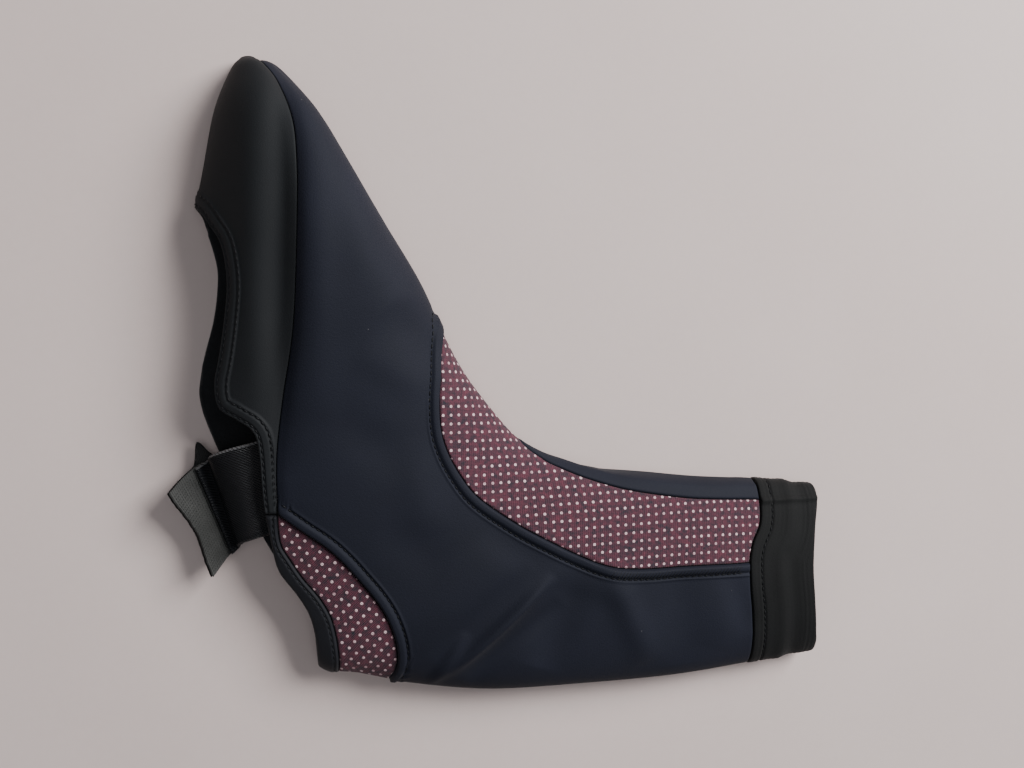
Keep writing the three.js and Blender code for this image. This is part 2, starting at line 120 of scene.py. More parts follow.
# Soft folds of the upper side: two ends in plan, half width and height in millimetres,
# below zero for a trough
creases = np.array(
    [
        [-97, 216, -101, 44, 6, -3.0],  # trough beside the sole seam
        [-84, 206, -86, 66, 7, 1.2],  # roll of the upper along it
        [-110, 200, -109, 76, 6, 0.8],  # crown of the sole panel
        [-80, 186, -62, 118, 8, 0.7],  # long ridge over the toes
        [-62, 146, -50, 116, 6, -0.8],
        [-58, 112, -32, 88, 8, -1.1],  # instep, where it bends to the shin
        [-70, 96, -42, 78, 7, 0.7],
        [-80, 70, -46, 46, 9, -0.9],
        [-36, -40, 10, 2, 2.7, 3.3],  # ridge across the ankle
        [-26, -42, 13, -9, 4, -1.8],
        [-40, -31, 0, 6, 5, -1.2],
        [-42, -47, -26, -20, 2.2, 1.5],
        [5, -38, 24, 10, 9, -2.7],  # broad hollow of the shaft
        [54, -40, 32, 8, 6, 1.8],
        [70, -42, 64, 8, 10, -1.5],
        [84, -36, 96, 4, 8, 0.8],
        [88, 2, 100, -30, 6, -0.9],
        [-22, 24, 12, 2, 7, -0.9],  # below the shin seam
        [2, 6, 46, -10, 6, 0.7],
        [-62, 26, -34, 6, 9, -0.8],
        [-52, 60, -40, 20, 8, 0.7],
    ]
)


def plan(shares):
    """Places in plan in metres: the first share runs along the shaft, the second along the foot, and a
    third one along the cuff."""
    shares = np.asarray(shares, float)
    x = (shares[..., 0] - REST_UP) * SHAFT_LENGTH
    if shares.shape[-1] > 2:
        x = x + shares[..., 2] * CUFF_LENGTH
    return np.stack([x, (shares[..., 1] - REST_ALONG) * FOOT_LENGTH], -1)


def between_rows(rows, place):
    """Values at fractional row numbers: a cubic through the two nearest rows, whose slopes are half the
    step between their neighbours."""
    place = np.asarray(place, float)
    last = len(rows) - 1
    row = np.clip(np.floor(place).astype(int), 0, last - 1)
    share = (place - row)[..., None]
    before, start, end, after = (rows[np.clip(row + step, 0, last)] for step in (-1, 0, 1, 2))
    slope_in, slope_out = (end - before) / 2, (after - start) / 2
    bend = 3 * (end - start) - 2 * slope_in - slope_out
    twist = slope_in + slope_out - 2 * (end - start)
    return start + share * (slope_in + share * (bend + share * twist))


def section_ends(place):
    """Back and front end in plan of the sections at these places, and the sections' other values."""
    values = between_rows(sections, np.clip(place, 0, len(sections) - 1))
    return plan(values[..., [0, 1, 6]]), plan(values[..., [2, 3, 6]]), values


def skin(place, angle):
    """The cover's outside. Across a section it runs by the cosine of the angle, from the back fold at 0
    over the upper side to the front fold at pi and back under the lower side. The upper side rises by a
    power of the sine and leans towards its crest. The lower side falls by another, down to the floor.
    Places below 0 round off the toe as a quarter ellipse."""
    place, angle = np.broadcast_arrays(np.asarray(place, float), np.asarray(angle, float) % (2 * np.pi))
    back, front, values = section_ends(place)
    foot, shaft, crest, slant, peak = (values[..., i] for i in (4, 5, 7, 8, 9))
    past_toe = np.clip(-place, 0, 1)
    shrink = np.sqrt(1 - past_toe**2)
    depth = foot * FOREFOOT_DEPTH + shaft * SHAFT_DEPTH
    fold, rise = FOLD_SHARE * depth, (1 - FOLD_SHARE) * depth
    half = np.linalg.norm(front - back, axis=-1) / 2
    across = (front - back) / (2 * half[..., None])
    bulge = np.abs(np.sin(angle))
    upper = angle <= np.pi
    lean = np.where(upper, (crest - 0.5) * bulge**2 * 2, 0)
    spot = (back + front) / 2 + across * (half * shrink * (lean - np.cos(angle)))[..., None]
    top = fold + rise * shrink * bulge ** np.where(angle < np.pi / 2, slant, peak)
    bottom = fold - FLOOR_PRESS * fold * shrink * bulge**LOWER_FULLNESS
    height = np.where(upper, top, np.maximum(bottom, 0))
    return np.stack([spot[..., 0], spot[..., 1] + NOSE * past_toe, height], -1)


PLACE_STEP, ANGLE_STEP = 0.02, 0.03  # to each side, over which slopes are taken


def unit(vectors):
    """The same vectors at length 1."""
    return vectors / np.maximum(np.linalg.norm(vectors, axis=-1, keepdims=True), 1e-12)


def outward(place, angle):
    """The way out of the cloth: the cross product of the skin's slopes along its two directions."""
    before, after = np.clip(place - PLACE_STEP, -1, None), np.clip(place + PLACE_STEP, PLACE_STEP - 1, None)
    around = skin(place, angle + ANGLE_STEP) - skin(place, angle - ANGLE_STEP)
    return unit(np.cross(skin(after, angle) - skin(before, angle), around))


def fold_height(spots, angle):
    """Height of the soft folds over the skin: each is a bell across its line, which fades out towards
    both ends and towards the side folds."""
    start, end = creases[:, 0:2] * MM, creases[:, 2:4] * MM
    half_width, height = creases[:, 4] * MM, creases[:, 5] * MM
    line = end - start
    from_start = spots[..., None, :2] - start
    share = (from_start * line).sum(-1) / (line**2).sum(-1)
    aside = np.linalg.norm(from_start - np.clip(share, 0, 1)[..., None] * line, axis=-1)
    fade = np.clip(1 - np.abs(2 * share - 1) ** 2.5, 0, 1)
    folds = (height * np.exp(-((aside / half_width) ** 2)) * fade).sum(-1)
    return folds * np.clip(np.sin(angle) * 2.2, 0, 1) ** 2


def draped(place, angle, height=0.0):
    """Points at a height over the cover's outside once the cloth has sunk into its folds, with the way
    out of it."""
    spots, way = skin(place, angle), outward(place, angle)
    spots = spots + way * (fold_height(spots, angle) + height)[..., None]
    spots[..., 2] = np.maximum(spots[..., 2], 0)
    return spots, way


def seam_line(name, sideways=0.0):
    """A seam line of the plan as close points, moved to the left of its run by a distance."""
    rows = plan(seams[name])
    line = between_rows(rows, np.linspace(0, len(rows) - 1, POINTS_A_SPAN * (len(rows) - 1) + 1))
    run = unit(np.gradient(line, axis=0))
    return line + sideways * np.stack([-run[:, 1], run[:, 0]], 1)


PLACES_A_SECTION = 40  # tried for each point of a line
OUTSIDE = 0.65  # share of a section's width, from its middle, past which a point isn't on it


def on_skin(line, lower=False):
    """Where a line of the plan lies on the cover: the place of the section that passes through each
    point, and the angle whose cosine gives its share of the way across. The line is cut at the side
    folds, one point past them."""
    places = np.linspace(0, len(sections) - 1, PLACES_A_SECTION * (len(sections) - 1) + 1)
    back, front, _ = section_ends(places)
    across = front - back
    width = np.linalg.norm(across, axis=1)
    from_back = line[:, None] - back
    share = (from_back * across).sum(-1) / width**2
    aside = (across[:, 0] * from_back[..., 1] - across[:, 1] * from_back[..., 0]) / width
    miss = np.abs(aside) + 10 * width * np.maximum(np.abs(share - 0.5) - OUTSIDE, 0)
    near = np.clip(miss.argmin(1), 1, len(places) - 2)
    point = np.arange(len(line))
    step = aside[point, near + 1] - aside[point, near - 1]
    move = np.clip(-2 * aside[point, near] / step, -2, 2)
    place = places[near] + move * (places[1] - places[0])
    share = share[point, near] + move / 2 * (share[point, near + 1] - share[point, near - 1])
    inside = np.flatnonzero((share > 0) & (share < 1) & (place > 0) & (place < len(sections) - 1))
    kept = slice(max(inside[0] - 1, 0), inside[-1] + 2)
    place, share = place[kept], np.clip(share[kept], 0, 1)
    lean = 0 if lower else section_ends(place)[2][:, 7] - 0.5
    rest = lean + 0.5 - share
    cosine = 2 * rest / (0.5 + np.sqrt(0.25 + 4 * lean * rest))
    angle = np.arccos(np.clip(cosine, -1, 1))
    return place, 2 * np.pi - angle if lower else angle


def edge_angle(name, places, lower=False, sideways=0.0, before=None, after=None):
    """The angle at which a seam line crosses the sections at these places, and an angle to use before
    its first crossing and after its last."""
    place, angle = on_skin(seam_line(name, sideways), lower)
    order = np.argsort(place)
    return np.interp(places, place[order], angle[order], left=before, right=after)


# distances from an edge of the columns along it
EDGE_STEPS = np.array([0, 0.12, 0.35, 0.7, 1.2, 1.8, 2.5, 3.2, 3.8, 4.3, 4.8, 5.2, 5.6, 6, 6.6]) * MM


def strip(left, right, columns):
    """A grid between two lines, each a row of places and angles. Its rows run straight from one to the
    other, and its columns stand at even distances, closer together along both edges."""
    share = np.linspace(0, 1, 121)
    fine = left[:, None] + (right - left)[:, None] * share[:, None]
    steps = np.linalg.norm(np.diff(skin(fine[..., 0], fine[..., 1]), axis=1), axis=-1)
    length = np.concatenate([np.zeros((len(left), 1)), np.cumsum(steps, 1)], 1) + 1e-12 * share
    total = length[:, -1:]
    edge = EDGE_STEPS * np.clip(total / (3 * EDGE_STEPS[-1]), 0, 1)
    middle = edge[:, -1:] + (total - 2 * edge[:, -1:]) * np.linspace(0, 1, columns)[1:-1]
    target = np.concatenate([edge, middle, (total - edge)[:, ::-1]], 1)
    reached = np.array([np.interp(t, l, share) for t, l in zip(target, length)])
    return left[:, None] + (right - left)[:, None] * reached[..., None]


def distance_to(spots, line):
    """The shortest distance from each spot of a grid to a line of straight steps, in parts that are
    small enough for the memory."""
    start, step = line[:-1], np.diff(line, axis=0)
    size = np.maximum((step**2).sum(1), 1e-18)
    row = spots.reshape(-1, 3)
    near = np.empty(len(row))
    for part in np.array_split(np.arange(len(row)), 1 + len(row) * len(start) // 2_000_000):
        from_start = row[part, None] - start
        share = np.clip((from_start * step).sum(-1) / size, 0, 1)
        near[part] = np.sqrt(((from_start - share[..., None] * step) ** 2).sum(-1).min(1))
    return near.reshape(spots.shape[:-1])


def rounded(distance, wall):
    """A wall's thickness near its edge, which is a quarter ellipse as wide as half the wall."""
    return wall * np.sqrt(1 - (1 - np.clip(distance / (wall / 2), 0, 1)) ** 2)


def placed(name, mesh, materials):
    """The object of a mesh, smoothly shaded and put into the scene."""
    mesh.shade_smooth()
    for material in materials:
        mesh.materials.append(material)
    piece = bpy.data.objects.new(name, mesh)
    bpy.context.scene.collection.objects.link(piece)
    return piece


MERGE = 0.002 * MM  # distance within which the corners of two grids are one


def welded(name, grids, materials):
    """A closed mesh of grids that meet at their edges. Each grid is its points, the way out of it, its
    flat pattern and the number of its material. Faces are turned to look along the way out."""
    points, pattern, faces, numbers, start = [], [], [], [], 0
    for spots, way, flat, number in grids:
        rows, columns = spots.shape[:2]
        corner = start + np.arange(rows * columns).reshape(rows, columns)
        quads = np.stack([corner[:-1, :-1], corner[1:, :-1], corner[1:, 1:], corner[:-1, 1:]], -1)
        looks = np.cross(spots[1:, :-1] - spots[:-1, :-1], spots[:-1, 1:] - spots[:-1, :-1])
        if (looks * way[:-1, :-1]).sum() < 0:
            quads = quads[..., ::-1]
        points.append(spots.reshape(-1, 3))
        pattern.append(flat.reshape(-1, 2))
        faces.append(quads.reshape(-1, 4))
        numbers.append(np.full(len(faces[-1]), number))
        start += rows * columns
    points, pattern, faces = np.concatenate(points), np.concatenate(pattern), np.concatenate(faces)
    mesh = bpy.data.meshes.new(name)
    mesh.from_pydata(points, [], faces.tolist())
    mesh.polygons.foreach_set("material_index", np.concatenate(numbers))
    uv = mesh.uv_layers.new(name="pattern")
    uv.uv.foreach_set("vector", pattern[faces.ravel()].astype(np.float32).ravel())
    form = bmesh.new()
    form.from_mesh(mesh)
    bmesh.ops.remove_doubles(form, verts=form.verts, dist=MERGE)
    bmesh.ops.dissolve_degenerate(form, edges=form.edges, dist=MERGE / 2)
    form.to_mesh(mesh)
    form.free()
    return placed(name, mesh, materials)


def room(place):
    """How thick a wall can be at a place: 0.6 of the section's half width or of a third of its depth."""
    back, front, values = section_ends(np.maximum(place, 0))
    half = np.linalg.norm(front - back, axis=-1) / 2
    depth = values[..., 4] * FOREFOOT_DEPTH + values[..., 5] * SHAFT_DEPTH
    return 0.6 * np.minimum(half, depth / 3) * np.sqrt(1 - np.clip(-place, 0, 1) ** 2)


def panel(name, grids, edges, wall, materials, relief=None, sink=0.0, marks=None, cut=None):
    """A panel of cloth as a closed shell. Its two faces lie half the wall to each side of its middle
    and come together in a round lip along its edges. relief is the height of the outer face over the
    plain one, from the distances to the edges and to other marked lines, sink is how far the whole
    panel lies in, and cut gives its flat pattern where that isn't its plan."""
    lines = {**edges, **(marks or {})}
    lines = {label: draped(line[:, 0], line[:, 1])[0] for label, line in lines.items()}
    faces = []
    for grid in grids:
        place, angle = grid[..., 0], grid[..., 1]
        spots, way = draped(place, angle)
        near = {label: distance_to(spots, line) for label, line in lines.items()}
        full = np.minimum(wall, room(place))
        thickness = rounded(np.minimum.reduce([near[label] for label in edges]), wall) * full / wall
        extra = relief(near) if relief else 0
        extra = extra * np.clip(thickness / wall, 0, 1)
        outer, _ = draped(place, angle, (thickness - full) / 2 - sink + extra)
        inner, _ = draped(place, angle, -(thickness + full) / 2 - sink)
        inner[..., 2] = np.maximum(inner[..., 2], thickness * (outer[..., 2] < wall / 2))
        flat = cut(place, angle) if cut else spots[..., :2] / MM
        faces += [(outer, way, flat, 0), (inner, -way, flat, len(materials) - 1)]
    return welded(name, faces, materials)


def bump_at(distance, centre, half_width):
    """A bell of height 1 at a distance from an edge."""
    return np.exp(-(((distance - centre) / half_width) ** 2))


def eased(share):
    """A share that starts and ends gently: three times its square less twice its cube."""
    share = np.clip(share, 0, 1)
    return share**2 * (3 - 2 * share)


def flat_rise(distance, width, near_ramp, far_ramp):
    """A rise of height 1 beside an edge, with a ramp at the edge and one that ends at a width."""
    return eased(np.clip(distance / near_ramp, 0, 1) * np.clip((width - distance) / far_ramp, 0, 1))


def turned_edge(distance):
    """Relief of a turned edge: a flat rise as wide as the turning."""
    return SEAM_RISE * flat_rise(distance, SEAM_WIDTH, 0.8 * MM, 1.1 * MM)


def feed(node, inputs):
    """Sets a node's inputs to values, or links them to sockets."""
    for label, value in inputs.items():
        if isinstance(value, bpy.types.NodeSocket):
            node.id_data.links.new(value, node.inputs[label])
        else:
            node.inputs[label].default_value = value


def add_node(tree, kind, inputs, **settings):
    """A new node of a kind, with its settings and inputs. Gives its outputs."""
    node = tree.nodes.new("ShaderNode" + kind)
    for label, value in settings.items():
        setattr(node, label, value)
    feed(node, inputs)
    return node.outputs


def noise(tree, scale, detail, roughness):
    """A noise of this scale and detail over the piece."""
    inputs = {"Scale": scale, "Detail": detail, "Roughness": roughness}
    inputs["Vector"] = add_node(tree, "TexCoord", {})["Object"]
    return add_node(tree, "TexNoise", inputs)["Fac"]


def calculate(tree, operation, first, second=0.0):
    """One step of arithmetic on two sockets or numbers."""
    return add_node(tree, "Math", {0: first, 1: second}, operation=operation)[0]


def ramp(tree, value, start, dark, end, light):
    """Colours along a value, from a dark one at a start to a light one at an end."""
    node = tree.nodes.new("ShaderNodeValToRGB")
    for element, position, colour in zip(node.color_ramp.elements, (start, end), (dark, light)):
        element.position = position
        element.color = (*colour, 1)
    feed(node, {"Fac": value})
    return node.outputs["Color"]


def emboss(material, height, depth):
    """Raises a material's bumps by a value times a depth in metres."""
    normal = material.node_tree.nodes["Principled BSDF"].inputs["Normal"]
    inputs = {"Height": height, "Distance": depth}
    if normal.links:
        inputs["Normal"] = normal.links[0].from_socket
    material.node_tree.links.new(add_node(material.node_tree, "Bump", inputs)["Normal"], normal)


def paint(material, share, colour):
    """Mixes a colour over a material's own by a share."""
    base = material.node_tree.nodes["Principled BSDF"].inputs["Base Color"]
    inputs = {"Factor": share, "A": base.links[0].from_socket, "B": colour}
    mixed = add_node(material.node_tree, "Mix", inputs, data_type="RGBA")["Result"]
    material.node_tree.links.new(mixed, base)


def fabric(name, dark, light, patch, grain, depth, roughness, sheen=0.0):
    """A cloth's material: its colours change in soft patches, a fine grain of fibres roughens it, and
    loose fibres give it a sheen. The patches' and the grain's size and the grain's depth are in
    millimetres."""
    material = bpy.data.materials.new(name)
    material.use_nodes = True
    tree = material.node_tree
    patches = noise(tree, 1 / (patch * MM), 3, 0.6)
    fibres = noise(tree, 1 / (grain * MM), 4, 0.7)
    both = (calculate(tree, "MULTIPLY", patches, 0.65), calculate(tree, "MULTIPLY", fibres, 0.35))
    colour = ramp(tree, calculate(tree, "ADD", *both), 0.3, dark, 0.7, light)
    inputs = {"Base Color": colour, "Roughness": roughness, "Sheen Weight": sheen}
    inputs |= {"Sheen Roughness": 0.5, "Specular IOR Level": 0.22}
    feed(tree.nodes["Principled BSDF"], inputs)
    emboss(material, fibres, depth * MM)
    return material


def lint(material, cell, share, radius, colour):
    """Pale specks of dust on a material: one in a share of the cells of this size, with a radius."""
    tree = material.node_tree
    where = add_node(tree, "TexCoord", {})["Object"]
    cells = add_node(tree, "TexVoronoi", {"Scale": 1 / cell, "Vector": where})
    chosen = add_node(tree, "SeparateColor", {"Color": cells["Color"]})["Red"]
    near = calculate(tree, "LESS_THAN", cells["Distance"], radius / cell)
    paint(material, calculate(tree, "MULTIPLY", near, calculate(tree, "LESS_THAN", chosen, share)), colour)


softshell = fabric("softshell", (0.0052, 0.0064, 0.0128), (0.0088, 0.0106, 0.0204), 60, 0.7, 0.12, 0.74, 0.02)
lint(softshell, 6 * MM, 0.1, 0.3 * MM, (0.07, 0.07, 0.075, 1))
fleece = fabric("fleece_lining", (0.009, 0.0095, 0.011), (0.017, 0.018, 0.02), 20, 1.6, 0.5, 0.95, 0.2)


def shin_wrap(place):
    """The angle at which the lower side stands at the height that the shin knit wraps down to."""
    values = section_ends(place)[2]
    fold = FOLD_SHARE * (values[..., 4] * FOREFOOT_DEPTH + values[..., 5] * SHAFT_DEPTH)
    drop = np.clip((fold - SHIN_WRAP) / (FLOOR_PRESS * fold), 0, 1)
    return np.pi + np.arcsin(drop ** (1 / LOWER_FULLNESS))


rear_place, rear_angle = on_skin(seam_line("shin rear"))
SHIN_START = rear_place[rear_angle < np.pi - 0.02].min()
front_place, front_angle = on_skin(seam_line("shin front"))
SHIN_CROSSING = front_place[front_angle < np.pi - 0.01].min()  # of its front seam over the front fold
UNDER_RUN, OVER_RUN = 0.12, 0.25  # sections over which that seam moves under the fold and over it


def shin_rear(places):
    """The angle of the shin panel's rear seam, or of the front fold before the panel starts."""
    return np.where(places < SHIN_START, np.pi, edge_angle("shin rear", places, before=np.pi))


def shin_front(places):
    """The angle of the shin panel's front seam. It lies under the front fold from the instep on, and
    comes over it part of the way up."""
    under = np.pi + (shin_wrap(places) - np.pi) * np.clip((places - SHIN_START) / UNDER_RUN, 0, 1)
    over = edge_angle("shin front", places, before=np.pi)
    share = np.clip((places - SHIN_CROSSING + OVER_RUN) / OVER_RUN, 0, 1)
    return under + (over - under) * share


def below_upper(places, lower=False):
    """The angle of the upper's edge along the sole and the heel panel, or of the back fold past them."""
    flat = 2 * np.pi if lower else 0.0
    sole = edge_angle("sole", places, lower, before=np.pi)
    heel = edge_angle("heel", places, lower, after=flat)
    return np.where(places < STRAP_SECTION, sole, heel)


STRAP_SECTION = on_skin(seam_line("heel"))[0].min()  # where the sole panel ends and the heel's begins
UPPER_START = on_skin(seam_line("sole"))[0].min()
CUFF_SLIDE = 1.6  # sections over which a panel's rows slide to the slanting seam of the cuff
CUFF_FINE = 0.3  # sections before it over which they come closer together


def round_shaft(name, sideways=0.0):
    """A seam line round the whole shaft, as places and angles in the order of the angles."""
    line = np.concatenate([np.stack(on_skin(seam_line(name, sideways), low), 1) for low in (False, True)])
    return line[np.argsort(line[:, 1])]


cuff_seam = round_shaft("cuff")


def to_cuff(grid):
    """Slides the last stretch of a grid along the shaft so that it ends on the cuff's seam."""
    place, angle = grid[..., 0], grid[..., 1]
    end = np.interp(angle % (2 * np.pi), cuff_seam[:, 1], cuff_seam[:, 0])
    slid = place + (end - CUFF_SECTION) * eased((place - CUFF_SECTION + CUFF_SLIDE) / CUFF_SLIDE)
    return np.stack([slid, angle], -1)


def rows_to_cuff(start, even_from, counts, power):
    """Places from a panel's start to the cuff's section, which lie closer together at both ends."""
    even_to = CUFF_SECTION - CUFF_FINE
    first = start + (even_from - start) * np.linspace(0, 1, counts[0]) ** power
    last = even_to + CUFF_FINE * (1 - (1 - np.linspace(0, 1, counts[2])[1:]) ** 1.8)
    return np.concatenate([first, np.linspace(even_from, even_to, counts[1])[1:], last])


def between_angles(rows, left, right, columns):
    """A grid over rows of places, from one angle in each to another."""
    return strip(np.stack([rows, left], 1), np.stack([rows, right], 1), columns)


rows = rows_to_cuff(UPPER_START, 1.2, (24, 262, 14), 1.6)
upper_side = to_cuff(between_angles(rows, below_upper(rows), shin_rear(rows), 76))
lower_side = to_cuff(between_angles(rows, shin_front(rows), below_upper(rows, lower=True), 16))
FOLD_ANGLE = 1e-6  # within which an edge lies on a side fold
closed_back = np.flatnonzero(upper_side[:, 0, 1] <= FOLD_ANGLE)[0]
open_front = np.flatnonzero(rows >= SHIN_START)[0]
heel_start = np.flatnonzero(rows > STRAP_SECTION)[0] - 1
upper_edges = {
    "sole": np.concatenate([upper_side[heel_start::-1, 0], lower_side[: heel_start + 1, -1]]),
    "heel": upper_side[heel_start : closed_back + 1, 0],
    "inner heel": lower_side[heel_start : closed_back + 1, -1],
    "shin rear": upper_side[open_front - 1 :, -1],
    "shin front": lower_side[open_front - 1 :, 0],
    "cuff upper": upper_side[-1],
    "cuff lower": lower_side[-1],
}

seams["heel turning"] = [[0.094, 0.318]] + seams["heel"]  # run on over the sole seam
marked = {
    "turning": np.stack(on_skin(seam_line("heel turning")), 1),
    "heel stitches": np.stack(on_skin(seam_line("heel turning", STITCH_INSET)), 1),
    "shin stitches": np.stack(on_skin(seam_line("shin rear", -STITCH_INSET)), 1),
}
SEAM_DIP = 0.6 * MM  # of two panels that are sewn edge to edge
SEAM_ROLL = 2.4 * MM


def upper_relief(near):
    """Turned edges along the two knit panels, pulled down to a groove by their stitches, and an edge
    that rolls down into the sole seam."""
    turned = np.maximum(turned_edge(near["shin rear"]), turned_edge(near["turning"]))
    groove = bump_at(np.minimum(near["heel stitches"], near["shin stitches"]), 0, GROOVE_WIDTH)
    turned += (GROOVE_FLOOR - turned) * groove
    return turned - SEAM_DIP * bump_at(near["sole"], 0, SEAM_ROLL)


upper = panel(
    "softshell_upper",
    [upper_side, lower_side],
    upper_edges,
    SHELL_WALL,
    [softshell, fleece],
    upper_relief,
    marks=marked,
)
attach(upper, "root")
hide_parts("upper")

# Sole panel
# One piece of coated cloth that wraps the toe and the ball of the foot. It ends in a notch under the
# ball, where it divides into a wing on each side of the opening for the cleat. Its free edge is turned
# and stitched twice, and it is sewn to the upper with the turnings inside.

seams |= {
    "upper edge": [[-0.06, 0.772], [0.002, 0.762], [0.03, 0.73], [0.047, 0.7], [0.054, 0.65],
                   [0.049, 0.595], [0.04, 0.54], [0.031, 0.494], [0.038, 0.458], [0.066, 0.44],
                   [0.09, 0.424], [0.1, 0.396], [0.107, 0.309], [0.118, 0.25], [0.13, 0.2],
                   [0.161, 0.158], [0.18, 0.126], [0.19, 0.089], [0.194, 0.05], [0.198, 0.01],
                   [0.198, -0.06]],
    "lower edge": [[-0.06, 0.772], [0.002, 0.762], [0.02, 0.728], [0.035, 0.677], [0.035, 0.636],
                   [0.028, 0.59], [0.014, 0.54], [0.003, 0.495], [0.002, 0.467], [0.012, 0.43],
                   [0.035, 0.38], [0.072, 0.31], [0.104, 0.245], [0.13, 0.2], [0.161, 0.158],
                   [0.18, 0.126], [0.19, 0.089], [0.194, 0.05], [0.198, 0.01], [0.198, -0.06]],
}
SOLE_WALL = 2.3 * MM
HEM_WIDTH = 7.1 * MM
HEM_RISE = 0.7 * MM
HEM_PULL = 0.7  # how far its stitches pull it down, as a share of its rise
HEM_STITCHES = np.array([1.7, 5.4]) * MM
JOINT_Y = plan(seams["heel"][0])[1]  # where the sole panel's wings end and the heel's binding begins


def place_at(name, y, lower=False):
    """The place at which a seam line reaches a distance along the foot."""
    line = seam_line(name)
    point = np.flatnonzero((line[:-1, 1] >= y) & (line[1:, 1] < y))[0]
    share = (line[point, 1] - y) / (line[point, 1] - line[point + 1, 1])
    spot = line[point] + share * (line[point + 1] - line[point])
    return on_skin(np.array([spot, spot, spot]), lower)[0][0]


def hem_relief(near):
    """A turned hem's flat rise, with a dip along each of its two rows of stitches, and an edge that
    rolls down into the sole seam."""
    dips = sum(bump_at(near["hem"], inset, 0.55 * MM) for inset in HEM_STITCHES)
    hem = HEM_RISE * flat_rise(near["hem"], HEM_WIDTH, 0.9 * MM, 1.2 * MM) * (1 - HEM_PULL * dips)
    return hem - SEAM_DIP * bump_at(near["seam"], 0, SEAM_ROLL)


def slide_end(base, end, length=1.5):
    """Places that keep to the base ones but slide over the last of them to another end."""
    return base + (end - base[-1]) * eased((base - base[-1] + length) / length)


sole_rows = np.concatenate([-np.cos(np.linspace(0, np.pi / 2, 12)), np.linspace(0, 8, 250)[1:]])
wing = {}
for lower, edge in ((False, "upper edge"), (True, "lower edge")):
    free = slide_end(sole_rows, place_at(edge, JOINT_Y, lower))
    sewn = slide_end(sole_rows, STRAP_SECTION)
    closed = 2 * np.pi if lower else 0.0
    free = np.stack([free, edge_angle(edge, free, lower, before=closed)], 1)
    sewn = np.stack([sewn, edge_angle("sole", sewn, lower, -SEAM_GAP, before=np.pi)], 1)
    wing[lower] = strip(sewn, free, 24) if lower else strip(free, sewn, 50)
outer_notch = np.flatnonzero(wing[False][:, 0, 1] > FOLD_ANGLE)[0]
inner_notch = np.flatnonzero(wing[True][:, -1, 1] < 2 * np.pi - FOLD_ANGLE)[0]
notch = min(outer_notch, inner_notch) - 1
toe_seam = np.flatnonzero(wing[False][:, -1, 1] < np.pi - FOLD_ANGLE)[0] - 1
sole_edges = {
    "hem": np.concatenate([wing[False][notch:, 0][::-1], wing[True][notch:, -1]]),
    "seam": np.concatenate([wing[False][toe_seam:, -1][::-1], wing[True][toe_seam:, 0]]),
    "upper joint": wing[False][-1],
    "lower joint": wing[True][-1],
}
coated_cloth = fabric("coated_cloth", (0.0088, 0.01, 0.0118), (0.0135, 0.0152, 0.0175), 45, 0.5, 0.08, 0.7)
sole_grids = [wing[False], wing[True]]
sole_panel = panel(
    "sole_panel_cloth", sole_grids, sole_edges, SOLE_WALL, [coated_cloth, fleece], hem_relief
)
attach(sole_panel, "root")
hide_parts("sole_panel")

# Shin insert
# A panel of stretch knit over the instep and the shin, printed with rows of pale dots. It is sewn in
# under the turned edge of the upper, lies a little lower, and wraps round the front fold.

KNIT_WALL = 1.5 * MM
KNIT_SINK = 0.35 * MM
DOT_PITCH = 3.6  # in millimetres, as in the pattern map
DOT_RADIUS = 0.62
DOT_BLUR = 0.16
RIB_PITCH = 0.6
STITCH_ROW_PITCH = 0.9


def cut_flat(fold):
    """The flat pattern of a panel that lies across a side fold, in millimetres. Each point stands off
    the fold's line in plan by its distance along its section, and the side below the fold is turned out
    like a mirror image."""

    def pattern(place, angle):
        share = np.linspace(0, 1, 60)
        way_round = skin(place[..., None], fold + (angle - fold)[..., None] * share)
        far = np.linalg.norm(np.diff(way_round, axis=-2), axis=-1).sum(-1)
        back, front, _ = section_ends(place)
        inward = unit(back - front if fold else front - back)
        run = unit(skin(place + 0.05, fold)[..., :2] - skin(place - 0.05, fold)[..., :2])
        mirrored = 2 * (run * inward).sum(-1, keepdims=True) * run - inward
        below = (np.sin(angle) < 0)[..., None]
        return (skin(place, fold)[..., :2] + np.where(below, mirrored, inward) * far[..., None]) / MM

    return pattern


def pattern_axes(tree, turn):
    """The two axes of the flat pattern in millimetres, turned by an angle."""
    flat = add_node(tree, "UVMap", {}, uv_map="pattern")["UV"]
    laid = add_node(tree, "Mapping", {"Vector": flat, "Rotation": (0, 0, turn)})["Vector"]
    axes = add_node(tree, "SeparateXYZ", {"Vector": laid})
    return axes["X"], axes["Y"]


def waves(tree, value, pitch):
    """A sine along a value."""
    return calculate(tree, "SINE", calculate(tree, "MULTIPLY", value, 2 * np.pi / pitch))


